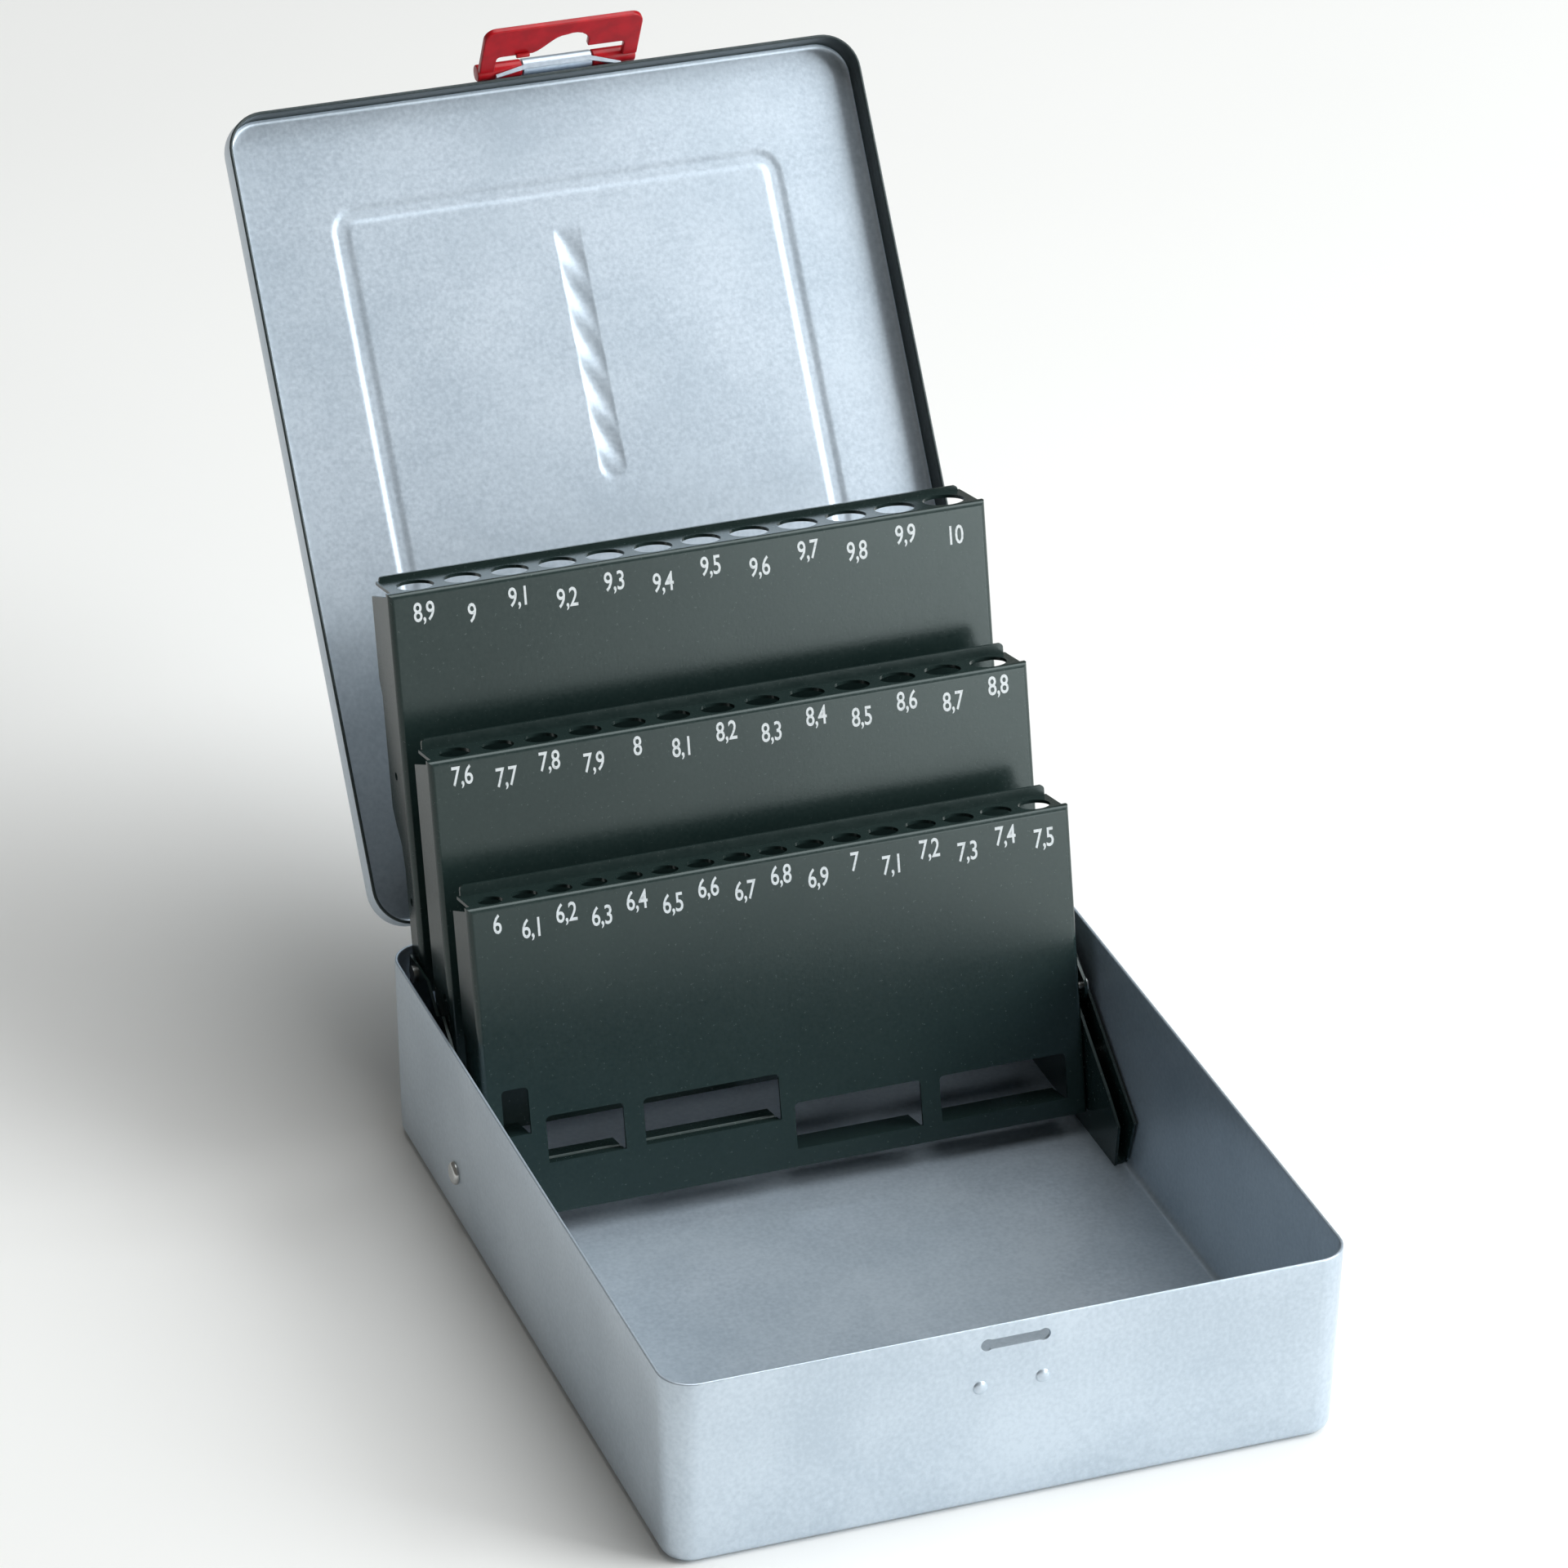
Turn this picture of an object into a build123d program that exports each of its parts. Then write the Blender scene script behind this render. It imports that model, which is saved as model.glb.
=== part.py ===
from build123d import *
import math
import os

os.makedirs("parts", exist_ok=True)

# All sizes in millimetres. X runs right along the front wall, Y to the back, +Z up.
# The origin is the centre of the case's flat bottom. The case is drawn as photographed:
# lid open, three racks standing up, latch half swung.

# Sheet-steel case
CASE_W = 165.0
CASE_D = 203.0
TRAY_H = 49.0
SHEET = 0.8
DRAFT_IN = 1.1           # how far the bottom outline sits inside the rim, on each side
TRAY_CORNER_R = 8.0
FLOOR_R = 2.8
LID_DEPTH = 8.4
LID_CORNER_R = 9.5
LID_EDGE_R = 2.4
LID_GAP = 0.4            # between the two rims when closed

# Lid hinge
HINGE_BEHIND = 2.9       # pin centre behind the rear wall
HINGE_LIFT = 0.2         # pin centre above the tray rim
LID_OPEN = 125.4         # degrees from closed to the photographed open stop
HINGE_LEN = 120.0
KNUCKLES = 5
KNUCKLE_GAP = 0.5
KNUCKLE_R = 2.4
HINGE_PIN_R = 1.25
RUN = 0.05               # running clearance on radius for every pin in a hole
LEAF_H = 17.0
LEAF_T = 0.8

# Racks: folded sheet channels that stand up, hinged low down at both sides
SIDE_ROOM = 6.1          # from the case's side to the rack's, room for bracket and bar
RACK_W = CASE_W - 2 * SIDE_ROOM
RACK_T = 0.8
RACK_LEAN = 13.4         # degrees back from upright
PIVOT_IN = 3.5           # pivot centre behind the rack's front face
PIVOT_FROM_WALL = 6.0    # rear pivot in front of the rear wall's outside
PIVOT_UNDER_RIM = 5.0
PIVOT_STEP_Y = 25.5      # from one rack's pivot to the next
PIVOT_STEP_Z = 12.5
ABOVE_FRONT = 65.05      # rack height above its pivot
ABOVE_MIDDLE = 77.6
ABOVE_REAR = 95.5
BELOW_FRONT = 13.4       # rack height below its pivot
BELOW_MIDDLE = 16.3
BELOW_REAR = 4.0
FLANGE_D = 12.0
REAR_FLANGE_D = 14.5
REAR_NARROW_D = 6.5
LIP_UP = 2.6
REAR_LIP_UP = 1.2
LIP_DOWN = 1.2
LIP_IN = 1.9             # lip ends this far inside the rack's sides
HOLE_BEHIND = 1.4        # front edge of a drill hole behind the rack's face
HOLE_EASE = 0.15         # hole radius over drill radius
TAB_D = 9.5
FOLD_R = 1.3

# Windows with a bent-in shelf under each: (left edge, right edge, steps above the lowest
# shelf), the edges as shares of the rack's width from its middle
WINDOW_H = 11.7
WINDOW_R = 1.2           # rounding of a window's upper corners
SHELF_STEP = 8.2         # jobber drill lengths step by about as much
FRONT_SHELF = 4.45       # lowest shelf above the rack's lower edge
MIDDLE_SHELF = 3.9
REAR_SHELF = 16.5
FRONT_WINDOWS = ((-0.4712, -0.4274, 2), (-0.4025, -0.2749, 1), (-0.2421, -0.0164, 1),
                 (0.0065, 0.2192, 0), (0.2513, 0.4673, 0))
MIDDLE_WINDOWS = ((-0.4679, -0.2487, 1), (-0.2225, -0.0098, 1), (0.0164, 0.2291, 1),
                  (0.2585, 0.4679, 0))
REAR_WINDOWS = ((-0.4679, -0.2487, 1), (-0.2225, -0.0098, 1), (0.0164, 0.2291, 0),
                (0.2585, 0.4679, 0))

# Rear rack's side flanges: heights above the pivot where they widen
WAIST_TOP = 25.5
WAIST_RAMP = 10.0
SHOULDER_TOP = 67.5
FLANGE_HOLE_R = 1.0
FLANGE_HOLE_IN = 7.2
FLANGE_HOLE_DOWN = 46.7

# Drill sizes held, and the room between a row's outermost drills and the rack's sides
FRONT_FIRST = 6.0
FRONT_COUNT = 16
FRONT_MARGIN = 3.65
MIDDLE_FIRST = 7.6
MIDDLE_COUNT = 13
MIDDLE_MARGIN = 3.9
REAR_FIRST = 8.9
REAR_COUNT = 12
REAR_MARGIN = 3.75
SIZE_STEP = 0.1

# Layers outwards from a rack's side flange, each with its own gap
LAYER_T = 0.7
LAYER_GAP = 0.3
PIVOT_R = 1.2
PIVOT_HEAD_R = 2.2
HEAD_T = 0.6
LINK_R = 1.0
LINK_HEAD_R = 1.9
CRANK = 18.0             # link pin above the pivot, along the rack
BAR_HALF = 3.2
LID_PIN_R = 1.2
SLOT_PLAY = 0.62
LUG_R = 3.2
LUG_FOOT_HALF = 6.0
LUG_FOOT_W = 9.0
RIVET_FROM_BACK = 50.5
BRACKET_RIVET_Y = CASE_D / 2 - RIVET_FROM_BACK
BRACKET_RIVET_Z = 14.6
BRACKET_RIVET_R = 1.5
RIVET_TAIL_R = 2.3
DOME_R = 2.9
DOME_T = 1.2

# Outer bracket plate's outline, from the front pivot and the tray's rim
PLATE_REACH = 26.9       # its front end ahead of the front pivot
PLATE_NOSE = 4.0
PLATE_NOSE_Z = 14.5
PLATE_KNEE = 11.0        # its bend ahead of the front pivot's back side
PLATE_KNEE_DOWN = 5.7
PLATE_RUN_OUT = 8.9
PLATE_UNDER_RIM = 4.4

# Latch
LATCH_X = 4.35           # centre of the clip, right of the case's middle
LATCH_W = 41.3
LATCH_OUT = 2.6          # latch pin in front of the lid's end wall
LATCH_AXIS_A = CASE_D + HINGE_BEHIND + LATCH_OUT
LATCH_AXIS_B = 3.0
LATCH_LEN = 16.4
LATCH_T = 1.6
LATCH_BACK = 0.6         # clip's back face beside its pin centre
LATCH_BARREL_R = 2.1
LATCH_PIN_R = 1.0
LATCH_BARREL_LEFT = 11.6
LATCH_BARREL_RIGHT = 11.1
LATCH_ARM = 4.0
LATCH_BAR_FROM = 7.0
LATCH_OPEN = 30.0        # degrees short of closed in the photograph
LATCH_GAP = 0.4          # between the clip's barrels and the bracket
RECESS_X = 2.75          # finger recess: its peak right of the clip's middle, and its reach
RECESS_REACH = 12.4
RECESS_LEFT = 10.1
RECESS_SHOULDER = 7.2
RECESS_RIGHT = 4.3
SNAP_LEFT = 11.9         # small catch rib that snaps into the tray's slot
SNAP_RIGHT = 8.4
SNAP_R = 0.4
SNAP_OUT = 0.75
BRACKET_LEFT = 13.0      # bracket's foot, wider than its curl on each side
BRACKET_RIGHT = 8.1

# Lid pressings, measured along the lid from the hinge
BEAD_FROM_SIDE = 23.2
BEAD_FROM_END = 24.9
BEAD_FROM_REAR = 25.1
BEAD_X = CASE_W / 2 - BEAD_FROM_SIDE
BEAD_TOP = HINGE_BEHIND + CASE_D - BEAD_FROM_END
BEAD_LOW = HINGE_BEHIND + BEAD_FROM_REAR
BEAD_BAND = 5.2
BEAD_UP = 0.9
BEAD_R = 7.0
RELIEF_X = 0.5
RELIEF_W = 6.8
RELIEF_UNDER_BEAD = 13.5
RELIEF_LEN = 63.5
RELIEF_TOP = BEAD_TOP - RELIEF_UNDER_BEAD
RELIEF_LOW = RELIEF_TOP - RELIEF_LEN
RELIEF_UP = 1.0

# Latch slot and dots in the front wall
SLOT_HALF = 8.2
SLOT_Z = 44.9
SLOT_H = 1.7
DOT_R = 1.8
DOT_UP = 0.8
DOT_SUNK = 0.2
DOT_Z = 33.5
DOT_XS = (-8.2, 6.9)

# Places that follow from the sizes
HINGE_Y = CASE_D / 2 + HINGE_BEHIND
HINGE_Z = TRAY_H + HINGE_LIFT
LID_RIM_Z = TRAY_H + LID_GAP
LID_TOP_Z = LID_RIM_Z + LID_DEPTH
FLANGE_IN = RACK_W / 2 - RACK_T
FLANGE_OUT = RACK_W / 2
PLATE_IN = FLANGE_OUT + LAYER_GAP
PLATE_OUT = PLATE_IN + LAYER_T
BAR_IN = PLATE_OUT + LAYER_GAP
BAR_OUT = BAR_IN + LAYER_T
LUG_IN = BAR_OUT + LAYER_GAP
LUG_OUT = LUG_IN + LAYER_T
OUTER_IN = LUG_OUT + LAYER_GAP
OUTER_OUT = OUTER_IN + LAYER_T
REAR_PIVOT = (CASE_D / 2 - PIVOT_FROM_WALL, TRAY_H - PIVOT_UNDER_RIM)
MIDDLE_PIVOT = (REAR_PIVOT[0] - PIVOT_STEP_Y, REAR_PIVOT[1] - PIVOT_STEP_Z)
FRONT_PIVOT = (MIDDLE_PIVOT[0] - PIVOT_STEP_Y, MIDDLE_PIVOT[1] - PIVOT_STEP_Z)
PIVOTS = (FRONT_PIVOT, MIDDLE_PIVOT, REAR_PIVOT)
LEAN_S = math.sin(math.radians(RACK_LEAN))
LEAN_C = math.cos(math.radians(RACK_LEAN))
FOLD = 90.0 + RACK_LEAN  # degrees a rack turns while the lid closes
CRANK_UP = (CRANK * LEAN_S, CRANK * LEAN_C)
CRANK_SHIFT = (-CRANK - CRANK_UP[0], -CRANK_UP[1])


def lid_pin_place():
    # The point of the lid that moves by just as much as the link bar does
    turn = math.radians(LID_OPEN)
    c = math.cos(turn)
    s = math.sin(turn)
    dy, dz = CRANK_SHIFT
    y = ((c - 1) * dy + s * dz) / (2 - 2 * c)
    z = (-s * dy + (c - 1) * dz) / (2 - 2 * c)
    return HINGE_Y + y, HINGE_Z + z


def lid_pin_drift(share):
    # Where the lid pin has gone beside the bar's own travel, part way through the motion
    turn = math.radians(LID_OPEN * share)
    fold = math.radians(90 - RACK_LEAN + FOLD * share)
    y0, z0 = lid_pin_place()
    dy = y0 - HINGE_Y
    dz = z0 - HINGE_Z
    py = HINGE_Y + dy * math.cos(turn) - dz * math.sin(turn)
    pz = HINGE_Z + dy * math.sin(turn) + dz * math.cos(turn)
    by = CRANK * math.cos(fold) - CRANK_UP[0]
    bz = CRANK * math.sin(fold) - CRANK_UP[1]
    return py - by - y0, pz - bz - z0


LID_PIN = lid_pin_place()


def block(x0, x1, y0, y1, z0, z1):
    box = Box(x1 - x0, y1 - y0, z1 - z0)
    return Pos((x0 + x1) / 2, (y0 + y1) / 2, (z0 + z1) / 2) * box


def rod(radius, x0, x1, y, z):
    # A round bar along X
    turned = Rot(0, 90, 0) * Cylinder(radius, x1 - x0)
    return Pos((x0 + x1) / 2, y, z) * turned


def slab(points, x0, x1):
    # A flat plate across X from its side outline, given as (y, z) points
    wire = Polyline(*[(x0, y, z) for y, z in points], close=True)
    return extrude(make_face(wire), amount=x1 - x0, dir=(1, 0, 0))


def swing(shape, degrees, y, z):
    return Pos(0, y, z) * Rot(degrees, 0, 0) * Pos(0, -y, -z) * shape


def lid_open(shape):
    # From the closed place to the photographed open place
    return swing(shape, -LID_OPEN, HINGE_Y, HINGE_Z)


def both_sides(right):
    left = mirror(right, about=Plane.YZ)
    return left, right


def base_tray():
    def cup(inset, z0, z1, radius, floor_r):
        rise = z1 - z0
        low = RectangleRounded(
            CASE_W - 2 * DRAFT_IN - 2 * inset, CASE_D - 2 * DRAFT_IN - 2 * inset, radius
        )
        slope = math.degrees(math.atan(DRAFT_IN / TRAY_H))
        solid = Pos(0, 0, z0) * extrude(low, amount=rise, taper=-slope)
        low_edges = solid.edges().group_by(Axis.Z)[0]
        return fillet(low_edges, floor_r)

    corner = TRAY_CORNER_R - DRAFT_IN
    outer = cup(0, 0, TRAY_H, corner, FLOOR_R)
    inner = cup(SHEET, SHEET, TRAY_H + SHEET, corner - SHEET, FLOOR_R - SHEET)
    tray = outer - inner
    tray -= block(-SLOT_HALF, SLOT_HALF, -CASE_D, -CASE_D / 3,
                  SLOT_Z - SLOT_H / 2, SLOT_Z + SLOT_H / 2)
    wall = -CASE_D / 2 + DRAFT_IN * (1 - DOT_Z / TRAY_H)
    for x in DOT_XS:
        dot = Rot(90, 0, 0) * Cylinder(DOT_R, DOT_UP + DOT_SUNK)
        tray += Pos(x, wall - (DOT_UP - DOT_SUNK) / 2, DOT_Z) * dot
    for side in (-1, 1):
        hole = rod(BRACKET_RIVET_R + RUN, CASE_W / 3, CASE_W / 2 + SHEET,
                   BRACKET_RIVET_Y, BRACKET_RIVET_Z)
        tray -= mirror(hole, about=Plane.YZ) if side < 0 else hole
    return tray


def lid_shell():
    outer = extrude(RectangleRounded(CASE_W, CASE_D, LID_CORNER_R), amount=LID_DEPTH)
    outer = Pos(0, 0, LID_RIM_Z) * outer
    outer = fillet(outer.edges().group_by(Axis.Z)[-1], LID_EDGE_R)
    inner = extrude(
        RectangleRounded(CASE_W - 2 * SHEET, CASE_D - 2 * SHEET, LID_CORNER_R - SHEET),
        amount=LID_DEPTH,
    )
    inner = Pos(0, 0, LID_RIM_Z - SHEET) * inner
    inner = fillet(inner.edges().group_by(Axis.Z)[-1], LID_EDGE_R - SHEET)
    lid = outer - inner
    # Ring bead pressed outwards, hollow from inside
    mid = (BEAD_TOP + BEAD_LOW) / 2
    centre_y = HINGE_Y - mid
    span = BEAD_TOP - BEAD_LOW

    def ring(grow, z0, height):
        wide = RectangleRounded(2 * (BEAD_X + grow), span + 2 * grow, BEAD_R + grow)
        thin = RectangleRounded(
            2 * (BEAD_X - BEAD_BAND - grow), span - 2 * BEAD_BAND - 2 * grow,
            BEAD_R - BEAD_BAND + 1.0,
        )
        return Pos(0, centre_y, z0) * extrude(wide - thin, amount=height)

    lid += ring(0, LID_TOP_Z - SHEET / 2, SHEET / 2 + BEAD_UP)
    lid -= ring(-SHEET, LID_TOP_Z - 2 * SHEET, SHEET + BEAD_UP)
    # Plain drill-shaped relief pressed outwards, in the same way
    length = RELIEF_TOP - RELIEF_LOW
    centre_r = HINGE_Y - (RELIEF_TOP + RELIEF_LOW) / 2
    hull = SlotOverall(length, RELIEF_W, rotation=90)
    core = SlotOverall(length - 2 * SHEET, RELIEF_W - 2 * SHEET, rotation=90)
    boss = extrude(hull, amount=SHEET / 2 + RELIEF_UP)
    dent = extrude(core, amount=SHEET + RELIEF_UP)
    lid += Pos(RELIEF_X, centre_r, LID_TOP_Z - SHEET / 2) * boss
    lid -= Pos(RELIEF_X, centre_r, LID_TOP_Z - 2 * SHEET) * dent
    return lid_open(lid)


def knuckle_spans(first):
    pitch = HINGE_LEN / KNUCKLES
    spans = []
    for i in range(first, KNUCKLES, 2):
        x0 = -HINGE_LEN / 2 + i * pitch
        spans.append((x0 + KNUCKLE_GAP / 2, x0 + pitch - KNUCKLE_GAP / 2))
    return spans


def hinge_leaf(first, z0, z1):
    wall = CASE_D / 2
    reach_z = HINGE_Z
    leaf = block(-HINGE_LEN / 2, HINGE_LEN / 2, wall, wall + LEAF_T, min(z0, z1), max(z0, z1))
    for x0, x1 in knuckle_spans(first):
        leaf += block(x0, x1, wall, wall + LEAF_T, min(z0, reach_z), max(z0, reach_z))
        leaf += rod(KNUCKLE_R, x0, x1, HINGE_Y, HINGE_Z)
    for x0, x1 in knuckle_spans(1 - first):
        leaf -= rod(KNUCKLE_R + LAYER_GAP, x0 - KNUCKLE_GAP / 2, x1 + KNUCKLE_GAP / 2,
                    HINGE_Y, HINGE_Z)
    leaf -= rod(HINGE_PIN_R + RUN, -CASE_W, CASE_W, HINGE_Y, HINGE_Z)
    return leaf


def hinge_leaf_base():
    return hinge_leaf(0, TRAY_H - 2.6 - LEAF_H, TRAY_H - 2.6)


def hinge_leaf_lid():
    return lid_open(hinge_leaf(1, LID_TOP_Z - LID_EDGE_R - 0.2, LID_RIM_Z + 1.9))


def hinge_pin():
    half = HINGE_LEN / 2
    pin = rod(HINGE_PIN_R, -half - 0.8, half + 0.8, HINGE_Y, HINGE_Z)
    return chamfer(pin.edges(), 0.3)


def rack_frame(shape, pivot, above):
    # Local frame: X across, Y behind the face, Z up from the top edge
    y0 = pivot[0] + above * LEAN_S - PIVOT_IN * LEAN_C
    z0 = pivot[1] + above * LEAN_C + PIVOT_IN * LEAN_S
    return Pos(0, y0, z0) * Rot(-RACK_LEAN, 0, 0) * shape


def hole_places(first, count, margin):
    sizes = [first + SIZE_STEP * i for i in range(count)]
    web = (RACK_W - 2 * margin - sum(sizes)) / (count - 1)
    xs = [0.0]
    for a, b in zip(sizes, sizes[1:]):
        xs.append(xs[-1] + (a + b) / 2 + web)
    shift = xs[-1] / 2
    return [(x - shift, d / 2 + HOLE_EASE) for x, d in zip(xs, sizes)]


def rack(above, below, depth, lip_up, holes, windows, lowest_shelf):
    height = above + below
    half = RACK_W / 2
    outer = block(-half, half, 0, depth, -height, 0)
    folds = [e for e in outer.edges() if abs(e.center().Y) < 0.01
             and abs(e.center().Z + height) > 0.01]
    outer = fillet(folds, FOLD_R)
    inner = block(-half + RACK_T, half - RACK_T, RACK_T, depth + 5, -height - 5, -RACK_T)
    folds = [e for e in inner.edges() if abs(e.center().Y - RACK_T) < 0.01
             and abs(e.center().Z + height + 5) > 0.01]
    inner = fillet(folds, FOLD_R - RACK_T)
    body = outer - inner
    # Side flanges are cut off slanting at the top, clear of the holed flange
    for side in (-1, 1):
        x0 = min(side * (half + 1), side * (half - RACK_T - 0.4))
        x1 = max(side * (half + 1), side * (half - RACK_T - 0.4))
        body -= slab([(2.2, 1), (depth + 1, 1), (depth + 1, -3.6), (2.2, -RACK_T - 0.2)], x0, x1)
    lip_half = half - LIP_IN
    lip = block(-lip_half, lip_half, depth - RACK_T, depth, -LIP_DOWN, lip_up)
    lip = fillet([e for e in lip.edges().filter_by(Axis.Y) if e.center().Z > 0], 1.0)
    body += lip
    for x, r in holes:
        body -= Pos(x, HOLE_BEHIND + r, 0) * Cylinder(r, 4.0)
    for left, right, steps in windows:
        x0 = left * RACK_W
        x1 = right * RACK_W
        shelf = lowest_shelf + steps * SHELF_STEP - height
        opening = block(x0, x1, -1, RACK_T + 0.5, shelf, shelf + WINDOW_H)
        corners = [e for e in opening.edges().filter_by(Axis.Y) if e.center().Z > shelf + 1]
        body -= fillet(corners, WINDOW_R)
        body += block(x0 + 0.4, x1 - 0.4, RACK_T / 2, TAB_D, shelf - RACK_T, shelf)
    body -= rod(PIVOT_R + RUN, -half - 1, half + 1, PIVOT_IN, -above)
    body -= rod(LINK_R, -half - 1, half + 1, PIVOT_IN, -above + CRANK)
    return body


def rack_front():
    holes = hole_places(FRONT_FIRST, FRONT_COUNT, FRONT_MARGIN)
    body = rack(ABOVE_FRONT, BELOW_FRONT, FLANGE_D, LIP_UP, holes, FRONT_WINDOWS, FRONT_SHELF)
    return rack_frame(body, FRONT_PIVOT, ABOVE_FRONT)


def rack_middle():
    holes = hole_places(MIDDLE_FIRST, MIDDLE_COUNT, MIDDLE_MARGIN)
    body = rack(ABOVE_MIDDLE, BELOW_MIDDLE, FLANGE_D, LIP_UP, holes, MIDDLE_WINDOWS,
                MIDDLE_SHELF)
    return rack_frame(body, MIDDLE_PIVOT, ABOVE_MIDDLE)


def rack_rear():
    holes = hole_places(REAR_FIRST, REAR_COUNT, REAR_MARGIN)
    body = rack(ABOVE_REAR, BELOW_REAR, REAR_FLANGE_D, REAR_LIP_UP, holes, REAR_WINDOWS,
                REAR_SHELF)
    half = RACK_W / 2
    back = REAR_FLANGE_D + 2
    step = REAR_FLANGE_D - 1.6
    low = ABOVE_REAR + BELOW_REAR + 2
    # The side flanges narrow to clear the tray's rear wall and the lid's lug
    waist = WAIST_TOP - ABOVE_REAR
    ramp = waist + WAIST_RAMP
    shoulder = SHOULDER_TOP - ABOVE_REAR
    cut = slab(
        [(back, shoulder + 6), (REAR_FLANGE_D, shoulder + 4), (step, shoulder),
         (step, ramp + 4), (step - 2.2, ramp), (REAR_NARROW_D + 1.2, ramp - 4),
         (REAR_NARROW_D, waist), (REAR_NARROW_D, -low), (back, -low)],
        -half - 1, half + 1,
    )
    shelf = REAR_SHELF - ABOVE_REAR - BELOW_REAR
    tabs = block(-half + RACK_T, half - RACK_T, 0, TAB_D + 1,
                 shelf - SHELF_STEP, shelf + SHELF_STEP + WINDOW_H)
    body -= cut - tabs
    # Below the pivot the flange ends in a round as wide as the clearance to the wall
    under = block(-half - 1, half + 1, PIVOT_IN, back, -low, -ABOVE_REAR)
    under -= rod(BELOW_REAR + 0.4, -half - 2, half + 2, PIVOT_IN, -ABOVE_REAR)
    body -= under
    body -= rod(FLANGE_HOLE_R, -half - 1, half + 1, FLANGE_HOLE_IN, -FLANGE_HOLE_DOWN)
    return rack_frame(body, REAR_PIVOT, ABOVE_REAR)


def plate_tooth(pivot):
    # One tooth of the inner plate's top edge, running under a link pin's arc
    y, z = pivot
    clear = LINK_R + 0.45
    chord = math.atan2(-CRANK_SHIFT[1], -CRANK_SHIFT[0])
    off_y = clear * math.sin(chord)
    off_z = -clear * math.cos(chord)
    low = (y - CRANK + off_y, z + off_z)
    top = (y + CRANK_UP[0] + off_y, z + CRANK_UP[1] + off_z)
    return low, top


def side_bracket():
    # Folded channel standing beside the racks: inner plate, floor web, outer plate
    low1, top1 = plate_tooth(FRONT_PIVOT)
    low2, top2 = plate_tooth(MIDDLE_PIVOT)
    low3, top3 = plate_tooth(REAR_PIVOT)
    slope = (top1[1] - low1[1]) / (top1[0] - low1[0])
    start = low1[0] - 7.0
    top_z = REAR_PIVOT[1] + 3.6
    back = REAR_PIVOT[0] + 3.5
    foot = SHEET
    edge = [(start + 1.3, foot), (start, low1[1] - 7.0 * slope), low1]
    edge += [(low2[0] - 4.6, low2[1] - 0.2 + 1.6), (low2[0] - 0.4, low2[1] - 0.9)]
    edge += [(low2[0] + 0.8, low2[1]), (low3[0] - 4.6, low3[1] + 1.4)]
    edge += [(low3[0] - 0.4, low3[1] - 0.9), (low3[0] + 0.8, low3[1])]
    rise = (top_z - low3[1]) / slope
    edge += [(low3[0] + 0.8 + rise, top_z), (back, top_z), (back, REAR_PIVOT[1] - 5)]
    edge += [(REAR_PIVOT[0] - 6, foot)]
    inner = slab(edge, PLATE_IN, PLATE_OUT)
    outer_start = FRONT_PIVOT[0] - PLATE_REACH
    outer_back = REAR_PIVOT[0] - PLATE_NOSE
    outer_top = TRAY_H - PLATE_UNDER_RIM
    knee = FRONT_PIVOT[0] + PLATE_KNEE
    outer = slab(
        [(outer_start + PLATE_NOSE, foot), (outer_start, PLATE_NOSE_Z),
         (knee, outer_top - PLATE_KNEE_DOWN), (knee + PLATE_RUN_OUT, outer_top),
         (outer_back, outer_top), (outer_back, foot)],
        OUTER_IN, OUTER_OUT,
    )
    web_start = outer_start + PLATE_NOSE + 0.4
    web = block(PLATE_IN, OUTER_OUT, web_start, REAR_PIVOT[0] - 6, foot, foot + LAYER_T)
    bracket = inner + outer + web
    # Outer bottom fold follows the tray's rounded floor edge
    fold_r = FLOOR_R - SHEET + 0.2
    cy = (outer_start + outer_back) / 2
    square = block(OUTER_OUT - fold_r, OUTER_OUT + 1, cy - CASE_D / 2, cy + CASE_D / 2,
                   foot - 1, foot + fold_r)
    round_bar = Rot(90, 0, 0) * Cylinder(fold_r, CASE_D)
    bracket -= square - Pos(OUTER_OUT - fold_r, cy, foot + fold_r) * round_bar
    fill = Pos(OUTER_OUT - fold_r, cy, foot + fold_r) * round_bar
    hollow = Rot(90, 0, 0) * Cylinder(fold_r - LAYER_T, CASE_D + 2)
    fill -= Pos(OUTER_OUT - fold_r, cy, foot + fold_r) * hollow
    window = block(OUTER_OUT - fold_r, OUTER_OUT, web_start, outer_back, foot, foot + fold_r)
    bracket += fill & window
    for y, z in PIVOTS:
        bracket -= rod(PIVOT_R, PLATE_IN - 1, PLATE_OUT + 0.1, y, z)
    bracket -= rod(BRACKET_RIVET_R, OUTER_IN - 0.1, OUTER_OUT + 0.1,
                   BRACKET_RIVET_Y, BRACKET_RIVET_Z)
    return bracket


def bracket_rivet():
    wall_out = CASE_W / 2 - DRAFT_IN * (1 - (BRACKET_RIVET_Z + DOME_R) / TRAY_H)
    rivet = rod(BRACKET_RIVET_R, OUTER_IN, wall_out + 0.2, BRACKET_RIVET_Y, BRACKET_RIVET_Z)
    rivet += rod(RIVET_TAIL_R, OUTER_IN - HEAD_T, OUTER_IN, BRACKET_RIVET_Y, BRACKET_RIVET_Z)
    head = rod(DOME_R, wall_out, wall_out + DOME_T, BRACKET_RIVET_Y, BRACKET_RIVET_Z)
    head = fillet(head.edges().group_by(Axis.X)[-1], DOME_T - 0.1)
    return rivet + head


def pivot_rivet(y, z):
    rivet = rod(PIVOT_R, FLANGE_IN - LAYER_GAP, PLATE_OUT, y, z)
    rivet += rod(PIVOT_HEAD_R, FLANGE_IN - LAYER_GAP - HEAD_T, FLANGE_IN - LAYER_GAP, y, z)
    rivet += rod(PIVOT_HEAD_R, PLATE_OUT, PLATE_OUT + HEAD_T, y, z)
    return rivet


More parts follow.
